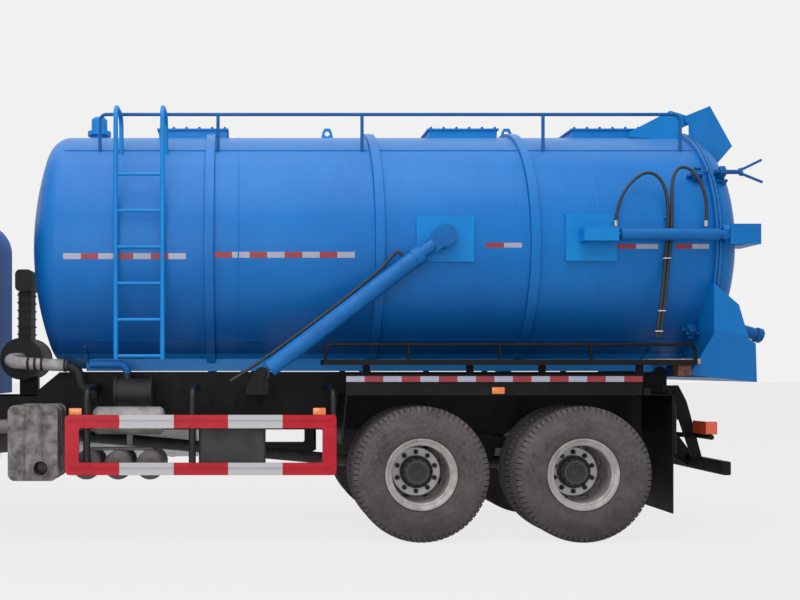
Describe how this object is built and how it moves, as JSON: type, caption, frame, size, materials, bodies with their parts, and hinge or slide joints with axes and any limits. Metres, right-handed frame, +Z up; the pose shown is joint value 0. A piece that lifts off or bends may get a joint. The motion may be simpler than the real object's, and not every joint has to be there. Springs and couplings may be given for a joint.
{
  "type": "suction tanker truck",
  "caption": "Cab-over truck with a tilting cylindrical suction tank, dished rear door, side ladder, lift cylinders, side guards and twin rear axles.",
  "frame": {"origin": "on the ground, under the middle of the truck's overall length and width", "axes": "+X along the truck towards its rear, +Y to its right side, +Z up"},
  "size_m": [9.394, 3.08, 3.8386],
  "materials": {
    "black_steel": "semi-gloss black chassis paint, dusty",
    "cab_paint": "gloss blue paint",
    "tank_blue": "gloss blue paint over rolled and welded steel plate",
    "rail_blue": "blue paint on tube",
    "lamp_lens": "moulded lamp lens",
    "cast": "rough dark casting",
    "dirty_steel": "dirty aluminised steel sheet",
    "tank_grey": "grey paint",
    "black_plastic": "moulded black plastic",
    "aluminium": "plain aluminium sheet",
    "guard_red": "red and white paint",
    "glass": "clear tinted glass",
    "trim": "dark grey trim and seat cloth",
    "hose_black": "black hydraulic hose",
    "rod_steel": "chromed rod",
    "tyre": "dusty grey brown tread and walls",
    "rim_silver": "silver painted steel rim"
  },
  "bodies": {
    "chassis": {"frame": "black_steel", "bumper": "cab_paint", "lamps": "lamp_lens", "front_axle": "black_steel", "springs": "black_steel", "drive_axles": "black_steel", "driveline": "cast", "silencer": "dirty_steel", "air_reservoirs": "tank_grey", "battery_box": "black_plastic", "fuel_tank": "aluminium", "air_intake": "black_plastic", "vacuum_pump": "cast", "side_guards": "guard_red", "mudguards": "black_steel", "rear_underrun": "black_steel", "hose_trays": "black_steel"},
    "knuckle_left": {"knuckle_left": "cast"},
    "knuckle_right": {"knuckle_right": "cast"},
    "tie_rod": {"tie_rod": "black_steel"},
    "cab": {"cab_shell": "cab_paint", "cab_glass": "glass", "cab_interior": "trim", "grille": "black_plastic", "mirrors": "black_plastic"},
    "cab_door_left": {"cab_door_left": "cab_paint", "door_glass_left": "glass"},
    "cab_door_right": {"cab_door_right": "cab_paint", "door_glass_right": "glass"},
    "tank": {"tank_shell": "tank_blue", "tank_frame": "tank_blue", "discharge_chute": "tank_blue", "ladder": "rail_blue", "top_rails": "rail_blue", "tank_fittings": "tank_blue", "door_hoses": "hose_black"},
    "rear_door": {"rear_door": "tank_blue", "outlet_pipe": "tank_blue"},
    "wheel_front_left": {"tyre_front_left": "tyre", "rim_front_left": "rim_silver"},
    "wheel_drive_1_left": {"tyre_drive_1_left": "tyre", "rim_drive_1_left": "rim_silver"},
    "wheel_drive_2_left": {"tyre_drive_2_left": "tyre", "rim_drive_2_left": "rim_silver"},
    "wheel_front_right": {"tyre_front_right": "tyre", "rim_front_right": "rim_silver"},
    "wheel_drive_1_right": {"tyre_drive_1_right": "tyre", "rim_drive_1_right": "rim_silver"},
    "wheel_drive_2_right": {"tyre_drive_2_right": "tyre", "rim_drive_2_right": "rim_silver"},
    "lift_barrel_left": {"lift_barrel_left": "tank_blue", "lift_hose_left": "hose_black"},
    "lift_rod_left": {"lift_rod_left": "rod_steel"},
    "door_barrel_left": {"door_barrel_left": "tank_blue"},
    "door_rod_left": {"door_rod_left": "rod_steel"},
    "lift_barrel_right": {"lift_barrel_right": "tank_blue", "lift_hose_right": "hose_black"},
    "lift_rod_right": {"lift_rod_right": "rod_steel"},
    "door_barrel_right": {"door_barrel_right": "tank_blue"},
    "door_rod_right": {"door_rod_right": "rod_steel"}
  },
  "joints": [
    {"name": "cab_tilt", "type": "hinge", "parent": "chassis", "child": "cab", "pos_m": [-4.6, 0, 1.085], "axis": [0, -1, 0], "range_deg": [0, 50]},
    {"name": "steer_left", "type": "hinge", "parent": "chassis", "child": "knuckle_left", "pos_m": [-3.197, -0.87, 0.57], "axis": [0, 0, 1], "range_deg": [-35, 35]},
    {"name": "steer_right", "type": "hinge", "parent": "chassis", "child": "knuckle_right", "pos_m": [-3.197, 0.87, 0.57], "axis": [0, 0, 1], "range_deg": [-36, 36]},
    {"name": "tie_rod_turn", "type": "hinge", "parent": "knuckle_left", "child": "tie_rod", "pos_m": [-3.037, -0.87, 0.49], "axis": [0, 0, 1], "range_deg": [-36, 36]},
    {"name": "spin_front_left", "type": "hinge", "parent": "knuckle_left", "child": "wheel_front_left", "pos_m": [-3.197, -1.172, 0.57], "axis": [0, 1, 0], "continuous": true},
    {"name": "spin_drive_1_left", "type": "hinge", "parent": "chassis", "child": "wheel_drive_1_left", "pos_m": [1.403, -0.908, 0.57], "axis": [0, 1, 0], "continuous": true},
    {"name": "spin_drive_2_left", "type": "hinge", "parent": "chassis", "child": "wheel_drive_2_left", "pos_m": [2.753, -0.908, 0.57], "axis": [0, 1, 0], "continuous": true},
    {"name": "cab_door_left_swing", "type": "hinge", "parent": "cab", "child": "cab_door_left", "pos_m": [-4.552, -1.232, 2], "axis": [0, 0, -1], "range_deg": [0, 42]},
    {"name": "spin_front_right", "type": "hinge", "parent": "knuckle_right", "child": "wheel_front_right", "pos_m": [-3.197, 1.172, 0.57], "axis": [0, 1, 0], "continuous": true},
    {"name": "spin_drive_1_right", "type": "hinge", "parent": "chassis", "child": "wheel_drive_1_right", "pos_m": [1.403, 0.908, 0.57], "axis": [0, 1, 0], "continuous": true},
    {"name": "spin_drive_2_right", "type": "hinge", "parent": "chassis", "child": "wheel_drive_2_right", "pos_m": [2.753, 0.908, 0.57], "axis": [0, 1, 0], "continuous": true},
    {"name": "cab_door_right_swing", "type": "hinge", "parent": "cab", "child": "cab_door_right", "pos_m": [-4.552, 1.232, 2], "axis": [0, 0, 1], "range_deg": [0, 42]},
    {"name": "tank_tilt", "type": "hinge", "parent": "chassis", "child": "tank", "pos_m": [3.703, 0, 1.422], "axis": [0, 1, 0], "range_deg": [0, 35]},
    {"name": "rear_door_open", "type": "hinge", "parent": "tank", "child": "rear_door", "pos_m": [3.978, 0, 3.72], "axis": [0, -1, 0], "range_deg": [0, 40]},
    {"name": "lift_swing_left", "type": "hinge", "parent": "chassis", "child": "lift_barrel_left", "pos_m": [0.077, -1.185, 1.405], "axis": [0, -1, 0], "range_deg": [-1, 3.86]},
    {"name": "lift_slide_left", "type": "slide", "parent": "lift_barrel_left", "child": "lift_rod_left", "axis": [0.7962, 0, 0.605], "range_m": [0, 1.4366]},
    {"name": "door_swing_left", "type": "hinge", "parent": "tank", "child": "door_barrel_left", "pos_m": [3.001, -1.185, 2.572], "axis": [0, -1, 0], "range_deg": [-1, 10.41]},
    {"name": "door_slide_left", "type": "slide", "parent": "door_barrel_left", "child": "door_rod_left", "axis": [1, 0, 0], "range_m": [0, 0.7596]},
    {"name": "lift_swing_right", "type": "hinge", "parent": "chassis", "child": "lift_barrel_right", "pos_m": [0.077, 1.185, 1.405], "axis": [0, -1, 0], "range_deg": [-1, 3.86]},
    {"name": "lift_slide_right", "type": "slide", "parent": "lift_barrel_right", "child": "lift_rod_right", "axis": [0.7962, 0, 0.605], "range_m": [0, 1.4366]},
    {"name": "door_swing_right", "type": "hinge", "parent": "tank", "child": "door_barrel_right", "pos_m": [3.001, 1.185, 2.572], "axis": [0, -1, 0], "range_deg": [-1, 10.41]},
    {"name": "door_slide_right", "type": "slide", "parent": "door_barrel_right", "child": "door_rod_right", "axis": [1, 0, 0], "range_m": [0, 0.7596]}
  ],
  "couplings": [
    {"joint": "steer_right", "follows": "steer_left", "ratio": 1},
    {"joint": "tie_rod_turn", "follows": "steer_left", "ratio": -1},
    {"joint": "lift_swing_left", "follows": "tank_tilt", "ratio": 0.08158},
    {"joint": "lift_slide_left", "follows": "tank_tilt", "m_per_rad": 2.3435},
    {"joint": "door_swing_left", "follows": "rear_door_open", "ratio": 0.23513},
    {"joint": "door_slide_left", "follows": "rear_door_open", "m_per_rad": 1.0809},
    {"joint": "lift_swing_right", "follows": "tank_tilt", "ratio": 0.08158},
    {"joint": "lift_slide_right", "follows": "tank_tilt", "m_per_rad": 2.3435},
    {"joint": "door_swing_right", "follows": "rear_door_open", "ratio": 0.23513},
    {"joint": "door_slide_right", "follows": "rear_door_open", "m_per_rad": 1.0809}
  ]
}
